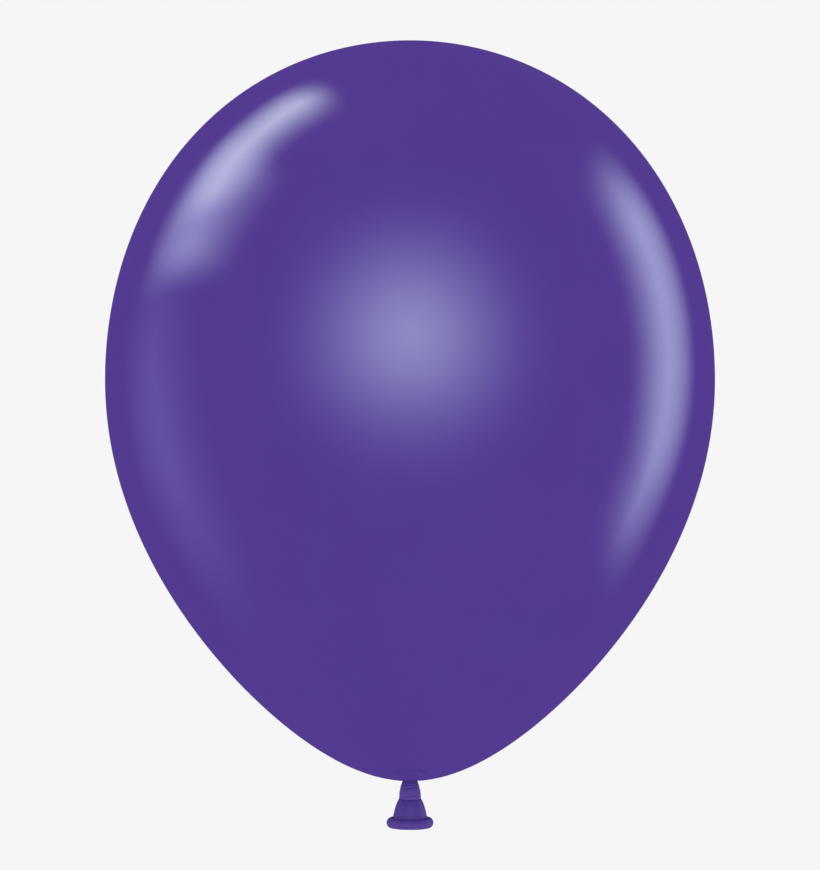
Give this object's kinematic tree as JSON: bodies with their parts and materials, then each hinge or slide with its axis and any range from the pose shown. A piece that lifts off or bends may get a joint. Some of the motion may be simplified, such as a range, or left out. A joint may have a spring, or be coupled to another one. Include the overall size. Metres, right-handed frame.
{
  "type": "latex balloon",
  "caption": "Round latex party balloon, blown up to a smooth teardrop and tied: gathered neck, knot, flared tail and rolled lip.",
  "frame": {"origin": "on the axis in the throat, level with the lowest point of the blown body, where a ribbon is tied round the neck", "axes": "+Z along the axis of symmetry, from the knot towards the crown; +X and +Y are equal"},
  "size_m": [0.3048, 0.3048, 0.3941],
  "materials": {
    "latex_film": "smooth glossy purple latex, blown thin",
    "latex_gathered": "satin purple latex, gathered and unstretched"
  },
  "bodies": {
    "body": {"envelope": "latex_film"},
    "neck": {"neck": "latex_gathered"},
    "knot": {"knot_strand": "latex_gathered", "knot_turn": "latex_gathered"},
    "tail": {"tail": "latex_gathered"},
    "lip": {"rolled_lip": "latex_gathered"}
  },
  "joints": [
    {"name": "neck_twist", "type": "hinge", "parent": "body", "child": "neck", "pos_m": [0, 0, 0], "axis": [0, 0, 1], "range_deg": [-120, 120], "stiffness_Nm_per_rad": 0.00002},
    {"name": "knot_tilt", "type": "hinge", "parent": "neck", "child": "knot", "pos_m": [0, 0, -0.00218], "axis": [1, 0, 0], "range_deg": [-20, 20], "stiffness_Nm_per_rad": 0.0002},
    {"name": "tail_bend", "type": "hinge", "parent": "knot", "child": "tail", "pos_m": [0, 0, -0.00928], "axis": [0, 1, 0], "range_deg": [-20, 20], "stiffness_Nm_per_rad": 0.0001},
    {"name": "lip_rock", "type": "hinge", "parent": "tail", "child": "lip", "pos_m": [0, 0, -0.01378], "axis": [1, 0, 0], "range_deg": [-12, 12], "stiffness_Nm_per_rad": 0.00005}
  ]
}
